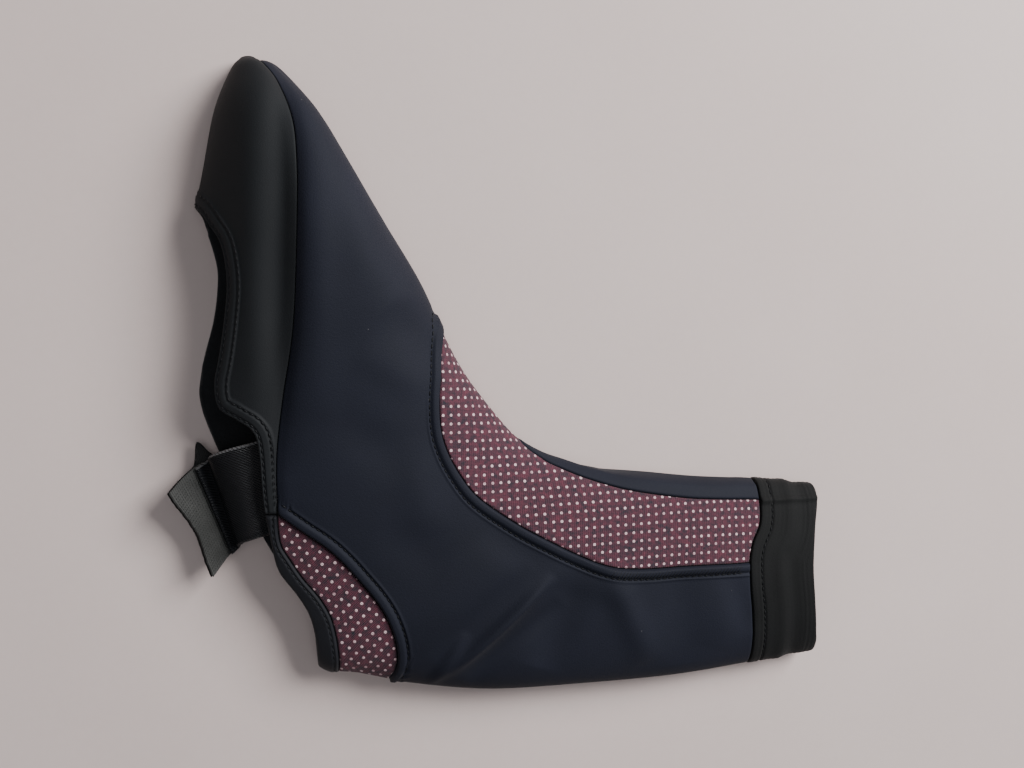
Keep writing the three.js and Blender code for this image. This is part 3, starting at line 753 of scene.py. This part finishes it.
def dotted_knit(name, turn):
    """The knit's material. Fine ribs of stitches run over a ground mottled in two colours, and round
    raised dots stand on a square lattice, turned by an angle."""
    material = fabric(name, (0.01, 0.022, 0.03), (0.143, 0.036, 0.056), 2.2, 0.8, 0.2, 0.85, 0.1)
    tree = material.node_tree
    axes = pattern_axes(tree, turn)
    squares = []
    for axis in axes:
        cell = calculate(tree, "FRACT", calculate(tree, "DIVIDE", axis, DOT_PITCH))
        aside = calculate(tree, "MULTIPLY", calculate(tree, "SUBTRACT", cell, 0.5), DOT_PITCH)
        squares.append(calculate(tree, "MULTIPLY", aside, aside))
    far = calculate(tree, "SQRT", calculate(tree, "ADD", *squares))
    inputs = {"Value": far, "From Min": DOT_RADIUS + DOT_BLUR, "From Max": DOT_RADIUS - DOT_BLUR}
    dot = add_node(tree, "MapRange", inputs, interpolation_type="SMOOTHSTEP")["Result"]
    print_wear = noise(tree, 260, 2, 0.5)
    paint(material, dot, ramp(tree, print_wear, 0.35, (0.44, 0.26, 0.29), 0.6, (0.72, 0.54, 0.56)))
    ribs, stitches = waves(tree, axes[1], RIB_PITCH), waves(tree, axes[0], STITCH_ROW_PITCH)
    emboss(material, calculate(tree, "ADD", ribs, stitches), 0.04 * MM)
    emboss(material, dot, 0.18 * MM)
    return material


def border(grid):
    """The four edges of a grid."""
    return {"left": grid[:, 0], "right": grid[:, -1], "first": grid[0], "last": grid[-1]}


def knit_panel(name, grid, knit, fold):
    """A panel of the knit on a grid that lies across a side fold."""
    return panel(
        name, [grid], border(grid), KNIT_WALL, [knit, fleece], sink=KNIT_SINK, cut=cut_flat(fold)
    )


shin_rows = rows_to_cuff(SHIN_START + 0.02, SHIN_START + 0.4, (16, 210, 12), 1.5)
gap_angle = SEAM_GAP / (45 * MM)
shin_left = edge_angle("shin rear", shin_rows, sideways=SEAM_GAP, before=np.pi)
shin_right = np.maximum(shin_front(shin_rows) - gap_angle, shin_left)
shin_grid = to_cuff(between_angles(shin_rows, shin_left, shin_right, 62))
shin_insert = knit_panel("shin_knit_panel", shin_grid, dotted_knit("shin_knit", 0.0), np.pi)
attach(shin_insert, "root")
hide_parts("shin_insert")

# Heel insert
# A band of the same knit round the back of the heel, cut on the bias so that its dots run askew. It is
# sewn in under the upper's turned edge and ends in a point under each side of the arch.

seams["binding"] = [[0.131, 0.292], [0.132, 0.262], [0.137, 0.24], [0.148, 0.222], [0.171, 0.188],
                    [0.198, 0.156], [0.216, 0.126], [0.225, 0.096], [0.23, 0.064], [0.232, 0.034],
                    [0.232, -0.06]]


HEEL_ROWS = 90  # on each side


def lengths_along(points):
    """The length of a line of points up to each of them."""
    return np.concatenate([[0], np.cumsum(np.linalg.norm(np.diff(points, axis=0), axis=1))])


def round_heel(upper_name, lower_name, sideways=0.0, from_y=None):
    """A seam line from the arch over the outer side, round the back fold and back along the inner side,
    as places and angles that run through 0 to below it, at even steps along each side."""
    halves = []
    for lower, name in ((False, upper_name), (True, lower_name)):
        line = seam_line(name, sideways)
        if from_y is not None:
            line = line[np.flatnonzero(line[:, 1] <= from_y)[0] - 1 :]
            line[0] += (line[1] - line[0]) * (line[0, 1] - from_y) / (line[0, 1] - line[1, 1])
        place, angle = on_skin(line, lower)
        angle = angle - 2 * np.pi if lower else angle
        angle[-1] = 0.0
        run = lengths_along(skin(place, angle))
        even = np.linspace(0, run[-1], HEEL_ROWS)
        halves.append(np.stack([np.interp(even, run, place), np.interp(even, run, angle)], 1))
    halves[1][-1] = halves[0][-1]
    return np.concatenate([halves[0], halves[1][-2::-1]])


heel_grid = strip(round_heel("heel", "heel", -SEAM_GAP), round_heel("binding", "binding"), 26)
heel_insert = knit_panel("heel_knit_panel", heel_grid, dotted_knit("heel_knit", np.radians(38)), 0.0)
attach(heel_insert, "root")
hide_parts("heel_insert")

# Heel binding
# A stretch tape folded over the free edge of the heel knit, from one end of the strap round the back
# of the heel to the other, and stitched down along its inner side.

BINDING_WALL = 2.4 * MM
BINDING_STITCH = 1.6 * MM
BINDING_RISE = 0.5 * MM
BINDING_DIP = 0.45 * MM  # of its stitches
free_edge = round_heel("upper edge", "lower edge", from_y=JOINT_Y)
binding_grid = strip(free_edge, round_heel("binding", "binding", -SEAM_GAP), 14)


def binding_relief(near):
    """A folded tape's pillow between its free edge and its seam, pulled down along its stitches."""
    middle = np.clip(np.minimum(near["left"], near["right"]) / (2.2 * MM), 0, 1)
    stitching = BINDING_DIP * bump_at(near["right"], BINDING_STITCH, 0.5 * MM)
    return BINDING_RISE * np.sin(middle * np.pi / 2) - stitching


tape_tones = (0.0062, 0.0068, 0.0098), (0.0105, 0.0115, 0.0155)
binding_tape = fabric("binding_tape", *tape_tones, 12, 0.45, 0.12, 0.65, 0.05)
heel_binding = panel(
    "heel_binding_tape", [binding_grid], border(binding_grid), BINDING_WALL, [binding_tape], binding_relief
)
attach(heel_binding, "root")
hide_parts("heel_binding")

# Cuff
# A wide woven elastic sewn round the top of the shaft, closed by a flat seam over the shin and
# topstitched just above the shaft's edge. It lies slack, and its free edge waves a little.

seams["collar"] = [[1, 0.36, 1.04], [1, 0.31, 1.04], [1, 0.279, 1.02], [1, 0.231, 0.94], [1, 0.167, 0.9],
                   [1, 0.11, 0.94], [1, 0.05, 1.01], [1, 0.02, 1.05], [1, -0.06, 1.06]]
CUFF_WALL = 2.1 * MM
CUFF_PROUD = 0.4 * MM
CUFF_STITCH = 5.4 * MM
CLOSING_SEAM_Y = 0.111 * FOOT_LENGTH
CUFF_RIB_PITCH = 2.1 * MM
CUFF_RIB_HEIGHT = 0.07 * MM
CUFF_WAVE = 0.5 * MM  # height of its crest and depth of its trough
CUFF_DIP = 0.5 * MM  # of the topstitching
CLOSING_RISE = 0.9 * MM


def ring(name, sideways=0.0):
    """The places of a seam line round the whole shaft, at even angles."""
    line = round_shaft(name, sideways)
    angles = np.linspace(0, 2 * np.pi, 321)
    places = np.interp(angles, line[:, 1], line[:, 0])
    places[0] = places[-1] = (places[0] + places[-1]) / 2
    return np.stack([places, angles], 1)


cuff_grid = strip(ring("cuff", SEAM_GAP), ring("collar"), 20)
closing_line = np.stack([np.linspace(96, 140, 60) * MM, np.full(60, CLOSING_SEAM_Y)], 1)
closing_seam = np.stack(on_skin(closing_line), 1)


def cuff_relief(near):
    """Fine ribs and one soft wave round the shaft, a dip along the topstitching and a low ridge over
    the closing seam."""
    seam = near["seam"]
    ribs = CUFF_RIB_HEIGHT * np.cos(seam * 2 * np.pi / CUFF_RIB_PITCH)
    wave = CUFF_WAVE * (bump_at(seam, 14 * MM, 2.8 * MM) - bump_at(seam, 20 * MM, 3 * MM))
    stitching = CUFF_DIP * bump_at(seam, CUFF_STITCH, 0.6 * MM)
    return ribs + wave - stitching + CLOSING_RISE * bump_at(near["closing"], 0, 1.3 * MM)


cuff_tones = (0.003, 0.0033, 0.0036), (0.0056, 0.0061, 0.0067)
cuff_elastic = fabric("cuff_elastic", *cuff_tones, 25, 0.5, 0.15, 0.78, 0.03)
cuff = panel(
    "cuff_elastic_band",
    [cuff_grid],
    {"seam": cuff_grid[:, 0], "collar": cuff_grid[:, -1]},
    CUFF_WALL,
    [cuff_elastic],
    cuff_relief,
    -CUFF_PROUD,
    {"closing": closing_seam},
)
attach(cuff, "root")
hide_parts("cuff")

# Strap elastic
# A wide elastic sewn inside the outer wing of the sole panel. It bows down into the opening and ends
# on the hook tape, which it grips, so that the two halves of the strap close under the shoe's waist.

STRAP_WIDTH = 38 * MM
STRAP_THICKNESS = 1.6 * MM
TAPE_LENGTH = 17 * MM
TAPE_THICKNESS = 1.1 * MM
STRAP_GAP = 0.3 * MM
STRAP_SEAT = 3.6 * MM + STRAP_THICKNESS / 2  # middle of a strap that lies on the inner wing's hem

# Rows of a strap's middle line: shares of the shaft and of the foot, height over the seat as a share of
# the forefoot's depth, turn of its width from the foot's length, and lift of the side near the toe
elastic_rows = [
    [0.121, 0.335, 0.405, 10, 7],  # under the upper edge
    [0.1, 0.33, 0.39, 11, 7],  # at the upper edge
    [0.074, 0.323, 0.36, 13, 6],  # crown
    [0.047, 0.312, 0.24, 16, 5],  # slope
]
tab_rows = [
    [0.099, 0.323, 0, 11, 0],  # on the lower edge
    [0.067, 0.314, 0, 13, 0],  # off the lower edge
    [0.04, 0.302, 0.01, 17, 1],  # under the elastic
    [0.02, 0.29, 0.05, 21, 3],  # end of the elastic
    [0.003, 0.275, 0.12, 24, 4],  # bend
    [-0.0136, 0.257, 0.21, 25, 4],  # free end
]
GRIP_ROWS = (2, 3)  # rows of the tab that the elastic ends on
HIGHLIGHT_RIM_WIDTH = 0.8 * MM  # of the painted highlight along the elastic's edge near the toe
SELVEDGE_RISE = 0.3 * MM
MIDDLE_DIP = 0.25 * MM


def strap_middle(rows):
    """Middle points of a strap's rows with their two angles in radians."""
    rows = np.array(rows, float)
    spots = plan(rows[:, :2])
    height = STRAP_SEAT + rows[:, 2] * FOREFOOT_DEPTH
    return np.column_stack([spots, height, np.radians(rows[:, 3:])])


def strap_frame(middles, places):
    """At places along a strap: its middle, the way across it, turned and tipped, and the way out of its
    upper face, square to its run and its width."""
    values = between_rows(middles, places)
    turn, tip = values[:, 3], values[:, 4]
    across = np.stack([-np.sin(turn) * np.cos(tip), np.cos(turn) * np.cos(tip), np.sin(tip)], 1)
    ahead, behind = (between_rows(middles, places + step)[:, :3] for step in (PLACE_STEP, -PLACE_STEP))
    return values[:, :3], across, unit(np.cross(across, ahead - behind))


def band(name, middles, first, thickness, materials, over=0.0, relief=None, steps=90, cut=None):
    """A flat band along a strap's middle line from a place on it to its end. Its two faces come together
    in a round lip along all four edges. over is how far it lies out from the line. relief is the height
    of the upper face over the plain one, from the distances along the band and across it. cut moves
    points along the band and across it, from their places before its end and across it."""
    end = len(middles) - 1.0
    places = first + (end - first) * (1 - np.cos(np.linspace(0, np.pi, steps))) / 2
    middle, across, out = strap_frame(middles, places)
    aside = np.concatenate([EDGE_STEPS[:6], np.linspace(EDGE_STEPS[6], STRAP_WIDTH - EDGE_STEPS[6], 40)])
    aside = np.concatenate([aside, STRAP_WIDTH - EDGE_STEPS[:6][::-1]])
    run = lengths_along(middle)
    along, wide = np.meshgrid(run, aside, indexing="ij")
    edge = np.minimum(np.minimum(along, run[-1] - along), np.minimum(wide, STRAP_WIDTH - wide))
    thick = rounded(edge, thickness)
    extra = relief(along, wide) * thick / thickness if relief else 0
    spots = middle[:, None] + across[:, None] * (wide - STRAP_WIDTH / 2)[..., None] + out[:, None] * over
    if cut:
        ahead = np.cross(out, across)[:, None]
        shift, stretch = cut(run[-1] - along, wide)
        spots = spots + ahead * shift[..., None] + across[:, None] * stretch[..., None]
    way = np.broadcast_to(out[:, None], spots.shape)
    flat = np.stack([along, wide], -1) / MM
    upper_face = spots + way * (thick / 2 + extra)[..., None]
    lower_face = spots - way * (thick / 2)[..., None]
    return welded(name, [(upper_face, way, flat, 0), (lower_face, -way, flat, len(materials) - 1)], materials)


def woven_band(name, dark, light, pitch, turn, depth, roughness):
    """A woven tape's material: fine ribs across the flat pattern, turned by an angle, over a fibre
    grain."""
    material = fabric(name, dark, light, 9, 0.35, 0.06, roughness)
    emboss(material, waves(material.node_tree, pattern_axes(material.node_tree, turn)[0], pitch), depth)
    return material


tab_middles = strap_middle(tab_rows)
over_tape = STRAP_THICKNESS + TAPE_THICKNESS + 2 * STRAP_GAP
grip, _, grip_out = strap_frame(tab_middles, np.array(GRIP_ROWS, float))
grip_middles = np.column_stack([grip + grip_out * over_tape, tab_middles[list(GRIP_ROWS), 3:]])
elastic_middles = np.concatenate([strap_middle(elastic_rows), grip_middles])


def elastic_relief(along, wide):
    """Firmer selvedges along both sides of the elastic, and a low hollow down its middle."""
    selvedge = bump_at(wide, 0.9 * MM, 0.8 * MM) + bump_at(STRAP_WIDTH - wide, 0.9 * MM, 0.8 * MM)
    return SELVEDGE_RISE * selvedge - MIDDLE_DIP * bump_at(wide, STRAP_WIDTH / 2, 9 * MM)


strap_tones = (0.0075, 0.008, 0.0098), (0.0135, 0.0145, 0.0172)
strap_weave = woven_band("strap_elastic", *strap_tones, 0.9, np.radians(50), 0.22 * MM, 0.36)
# A painted highlight: a pale band along the elastic's edge near the toe, standing in for light caught on that
# edge.
toe_side = pattern_axes(strap_weave.node_tree, 0.0)[1]
painted_highlight_rim = calculate(strap_weave.node_tree, "GREATER_THAN", toe_side, (STRAP_WIDTH - HIGHLIGHT_RIM_WIDTH) / MM)
paint(strap_weave, painted_highlight_rim, (0.11, 0.11, 0.115, 1))
strap_elastic = band(
    "strap_elastic_band", elastic_middles, 0.0, STRAP_THICKNESS, [strap_weave], relief=elastic_relief
)
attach(strap_elastic, "root")
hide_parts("strap_elastic")

# Strap tab
# The other half of the strap, a doubled webbing sewn to the inner wing. It lies under the elastic and
# carries the hook tape on its free end.

tab_tones = (0.0045, 0.0047, 0.005), (0.008, 0.0083, 0.009)
tab_weave = woven_band("strap_webbing", *tab_tones, 1.1, 0.0, 0.15 * MM, 0.7)
EAR_PLACE = 17.5 * MM  # before the free end
EAR_LENGTH = 8 * MM
HOLLOW_DEPTH = 2.4 * MM  # of the free end between its corners
FRAY_DEPTH = 0.16 * MM
FRAY_STEPS = np.linspace(0, STRAP_WIDTH, 42)
fray_depths = np.random.default_rng(7).normal(0, FRAY_DEPTH, len(FRAY_STEPS))


def worn_end(before_end, wide):
    """The free end hollowed between its corners and a little frayed along the cut."""
    near_end = np.exp(-before_end / (5 * MM))
    hollow = HOLLOW_DEPTH * np.sin(np.pi * np.clip(wide / STRAP_WIDTH, 0, 1)) ** 2
    fray = np.interp(wide, FRAY_STEPS, fray_depths) * np.exp(-before_end / (0.8 * MM))
    return near_end * (fray - hollow), 0 * wide


def tab_cut(before_end, wide):
    """The worn end, and a pointed ear of webbing that sticks out on the toe side beside the elastic."""
    shift, stretch = worn_end(before_end, wide)
    ear = np.exp(-((before_end - EAR_PLACE) / (2.2 * MM)) ** 2) * np.clip(wide / STRAP_WIDTH * 3 - 2, 0, 1)
    return shift, stretch + EAR_LENGTH * ear


strap_tab = band("strap_tab_webbing", tab_middles, 0.0, STRAP_THICKNESS, [tab_weave], cut=tab_cut)
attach(strap_tab, "root")
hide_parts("strap_tab")

# Hook tape
# A short strip of hook tape, sewn on the end of the tab: a woven base with rows of tiny plastic hooks
# and a bare selvedge.

HOOK_PITCH = 1.25 * MM
HOOK_HEIGHT = 0.675 * MM
HOOK_RADIUS = 0.16 * MM
HOOK_LEAN = 0.45 * MM
HOOK_SUNK = 0.1 * MM  # how far its foot is set into the base
TAPE_BASE = 0.7 * MM
TAPE_SELVEDGE = 1.6 * MM
tab_fine = np.linspace(0, len(tab_middles) - 1, 400)
tab_run = lengths_along(between_rows(tab_middles, tab_fine)[:, :3])
tape_start = np.interp(tab_run[-1] - TAPE_LENGTH, tab_run, tab_fine)
tape_over = (STRAP_THICKNESS + TAPE_BASE) / 2 + STRAP_GAP
base_tones = (0.036, 0.037, 0.036), (0.066, 0.067, 0.065)
tape_weave = woven_band("hook_tape", *base_tones, 0.9, 0.0, 0.15 * MM, 0.6)
hook_tape = band(
    "hook_tape_base", tab_middles, tape_start, TAPE_BASE, [tape_weave], tape_over, steps=60, cut=worn_end
)
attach(hook_tape, "root")
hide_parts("hook_tape")


def rods(name, starts, ends, bows, radius, material, sides=6, rings=5):
    """Many small bent rods as one mesh. Each runs from a start to an end and bows out between them by a
    parabola, and its radius falls off towards both ends."""
    share = np.linspace(0, 1, rings)
    turn = np.linspace(0, 2 * np.pi, sides, endpoint=False)
    run = ends - starts
    up = unit(bows)
    side = np.cross(unit(run), up)
    bow = bows[:, None] * (4 * share * (1 - share))[:, None]
    middle = starts[:, None] + run[:, None] * share[:, None] + bow
    thick = radius * np.sqrt(np.clip(1 - np.abs(2 * share - 1) ** 4, 0.02, 1))
    around = up[:, None] * np.cos(turn)[:, None] + side[:, None] * np.sin(turn)[:, None]
    spots = middle[:, :, None] + around[:, None] * thick[:, None, None]
    corner = np.arange(len(starts) * rings * sides).reshape(-1, rings, sides)
    beside = np.roll(corner, -1, axis=2)
    quads = np.stack([corner[:, :-1], beside[:, :-1], beside[:, 1:], corner[:, 1:]], -1).reshape(-1, 4)
    caps = np.concatenate([corner[:, 0, ::-1], corner[:, -1]]).tolist()
    mesh = bpy.data.meshes.new(name)
    mesh.from_pydata(spots.reshape(-1, 3), [], quads.tolist() + caps)
    form = bmesh.new()
    form.from_mesh(mesh)
    bmesh.ops.recalc_face_normals(form, faces=form.faces)
    form.to_mesh(mesh)
    form.free()
    piece = placed(name, mesh, [material])
    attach(piece, "root")
    return piece


hook_run, hook_side = np.meshgrid(
    np.arange(TAPE_SELVEDGE, TAPE_LENGTH - TAPE_SELVEDGE, HOOK_PITCH),
    np.arange(TAPE_SELVEDGE, STRAP_WIDTH - TAPE_SELVEDGE, HOOK_PITCH) - STRAP_WIDTH / 2,
    indexing="ij",
)
hook_run = hook_run.ravel() + tab_run[-1] - TAPE_LENGTH
hook_side = hook_side.ravel()
foot, hook_across, hook_out = strap_frame(tab_middles, np.interp(hook_run, tab_run, tab_fine))
lean = np.cross(hook_out, hook_across)
hook_shift, _ = worn_end(tab_run[-1] - hook_run, hook_side + STRAP_WIDTH / 2)
foot = foot + hook_across * hook_side[:, None] + lean * hook_shift[:, None]
foot = foot + hook_out * (tape_over + TAPE_BASE / 2 - HOOK_SUNK)
hook_plastic = fabric("hook_plastic", (0.035, 0.038, 0.037), (0.06, 0.064, 0.062), 5, 0.5, 0.02, 0.4)
hooks = rods(
    "hook_tape_hooks",
    foot,
    foot + hook_out * HOOK_HEIGHT + lean * HOOK_LEAN,
    hook_out * 0.25 * MM - lean * 0.15 * MM,
    HOOK_RADIUS,
    hook_plastic,
    sides=5,
    rings=4,
)

# Stitching
# Thread a little darker than the cloth, which is painted shade for the stitch grooves, in short
# lockstitches: one row beside each turned edge, two round the opening's hem, one down the binding, one
# round the cuff, and an overlock where the shin panel's rear seam runs up the shaft.

THREAD_RADIUS = 0.26 * MM
STITCH_PITCH = 2.7 * MM
STITCH_LENGTH = 2.1 * MM
STITCH_BOW = 0.14 * MM
LAST_STITCH = CUFF_SECTION - 0.25  # place at which the row beside the shin panel ends
# The thread's tones lie below the cloth's as painted shade, standing in for the shadow down in the stitch
# grooves.
thread = fabric("thread", (0.0035, 0.0038, 0.005), (0.0075, 0.008, 0.0105), 8, 0.3, 0.05, 0.55)


def even_spots(place, angle, height, pitch):
    """Points at even distances along a line on the draped cloth, with the ways out and along."""
    spots, way = draped(place, angle, height)
    run = lengths_along(spots)
    even = np.arange(pitch / 2, run[-1] - pitch / 2, pitch)
    at, out = (np.stack([np.interp(even, run, row) for row in rows.T], 1) for rows in (spots, way))
    return at, unit(out), unit(np.gradient(at, axis=0))


def stitch_row(seam, inset, height, lower=False, keep=None):
    """The starts, ends and bows of a row of stitches at a distance from a seam line, at a height over
    the cloth. keep says which points of the row are sewn, from their places and angles."""
    place, angle = on_skin(seam_line(seam, inset), lower)
    if keep is not None:
        kept = keep(place, angle)
        place, angle = place[kept], angle[kept]
    at, out, ahead = even_spots(place, angle, height, STITCH_PITCH)
    clear = at[:, 2] > 2 * THREAD_RADIUS
    at, out, ahead = at[clear], out[clear], ahead[clear]
    return at - ahead * STITCH_LENGTH / 2, at + ahead * STITCH_LENGTH / 2, out * STITCH_BOW


def before_cuff(place, angle):
    """The points of a row that lie short of the cuff's seam and clear of the front fold."""
    return (place < LAST_STITCH) & (angle < np.pi - 0.2)


def past_sole(place, angle):
    """The points of a row that lie on the upper's side of its lower edge."""
    return angle > below_upper(place) + 0.03


ON_TURNING = GROOVE_FLOOR + 0.12 * MM
ON_HEM = HEM_RISE * (1 - HEM_PULL) + 0.1 * MM
ON_CUFF = CUFF_PROUD - CUFF_DIP + 0.1 * MM
stitch_rows = [
    stitch_row("shin rear", -STITCH_INSET, ON_TURNING, keep=before_cuff),
    stitch_row("heel turning", STITCH_INSET, ON_TURNING, keep=past_sole),
    stitch_row("binding", -BINDING_STITCH - SEAM_GAP, 0.02 * MM),
    stitch_row("cuff", CUFF_STITCH + SEAM_GAP, ON_CUFF),
    stitch_row("cuff", CUFF_STITCH + SEAM_GAP, ON_CUFF, lower=True),
]
for inset in HEM_STITCHES:
    for lower, edge in ((False, "upper edge"), (True, "lower edge")):
        reach = place_at(edge, JOINT_Y, lower)
        row = stitch_row(edge, inset, ON_HEM, lower, keep=lambda place, angle: place < reach)
        stitch_rows.append(row)
starts, ends, bows = (np.concatenate(part) for part in zip(*stitch_rows))
seam_stitches = rods("seam_stitches", starts, ends, bows, THREAD_RADIUS, thread)

OVERLOCK_PITCH = 1.5 * MM
OVERLOCK_RADIUS = 0.16 * MM
OVERLOCK_HEIGHT = 0.9 * SEAM_RISE
OVERLOCK_INSETS = 0.6 * MM, 4.6 * MM  # of its two sides from the seam
OVERLOCK_REACH = 14.3, 16.8  # the places between which it runs
near_place, near_angle = on_skin(seam_line("shin rear", -OVERLOCK_INSETS[0]))
far_place, far_angle = on_skin(seam_line("shin rear", -OVERLOCK_INSETS[1]))
on_shaft = (near_place > OVERLOCK_REACH[0]) & (near_place < OVERLOCK_REACH[1])
places, near_angle = near_place[on_shaft], near_angle[on_shaft]
far_angle = np.interp(places, far_place, far_angle)
near_edge, near_out, _ = even_spots(places, near_angle, OVERLOCK_HEIGHT, OVERLOCK_PITCH)
far_edge, _, _ = even_spots(places, far_angle, OVERLOCK_HEIGHT, OVERLOCK_PITCH)
count = min(len(near_edge), len(far_edge))
near_edge, far_edge, bows = near_edge[:count], far_edge[:count], near_out[:count] * 0.1 * MM
overlock = rods("overlock_stitches", near_edge, far_edge, bows, OVERLOCK_RADIUS, thread)

# Floor and light
# A plain pale floor, one large soft light from the upper right of the picture and a weak even one.

FLOOR_HALF = 3.0
FLOOR_DROP = 0.05 * MM  # under the piece, so that their faces don't share a plane
floor_mesh = bpy.data.meshes.new("floor")
floor_corners = [(x * FLOOR_HALF, y * FLOOR_HALF, 0) for x, y in ((-1, -1), (1, -1), (1, 1), (-1, 1))]
floor_mesh.from_pydata(floor_corners, [], [(0, 1, 2, 3)])
floor_finish = fabric("floor_finish", (0.63, 0.525, 0.5), (0.67, 0.565, 0.54), 120, 4, 0.02, 0.55)
floor = placed("floor", floor_mesh, [floor_finish])
floor.location.z = -FLOOR_DROP


def soft_light(name, place, aim, size, power, colour):
    """A square light of this size that looks at a point."""
    lamp = bpy.data.lights.new(name, "AREA")
    lamp.shape = "SQUARE"
    lamp.size = size
    lamp.energy = power
    lamp.color = colour
    light = bpy.data.objects.new(name, lamp)
    bpy.context.scene.collection.objects.link(light)
    light.location = place
    light.rotation_euler = (Vector(aim) - Vector(place)).to_track_quat("-Z", "Y").to_euler()


soft_light("window", (1.02, 0.82, 1.02), aim=(0.0, 0.08, 0), size=0.9, power=49, colour=(1.0, 0.99, 0.98))
soft_light("ceiling", (-0.3, 0.1, 1.9), aim=(0, 0.05, 0), size=1.2, power=6, colour=(0.96, 0.97, 1.0))
world = bpy.data.worlds.new("room")
world.use_nodes = True
feed(world.node_tree.nodes["Background"], {"Color": (0.86, 0.88, 0.92, 1), "Strength": 0.175})
bpy.context.scene.world = world

# Camera
# It looks down from over the ball of the foot, as in the photograph, on the middle of the overshoe.

CAMERA_PLACE = Vector((-0.101, 0.107, 0.462))
CAMERA_AIM = Vector((-0.004, 0.080, 0.008))
camera = bpy.data.objects.new("camera", bpy.data.cameras.new("camera"))
bpy.context.scene.collection.objects.link(camera)
bpy.context.scene.camera = camera
camera.location = CAMERA_PLACE
forward = (CAMERA_AIM - CAMERA_PLACE).normalized()
right = forward.cross(Vector((0, 1, 0))).normalized()
camera.rotation_euler = Matrix((right, right.cross(forward), -forward)).transposed().to_euler()
camera.data.lens = 39
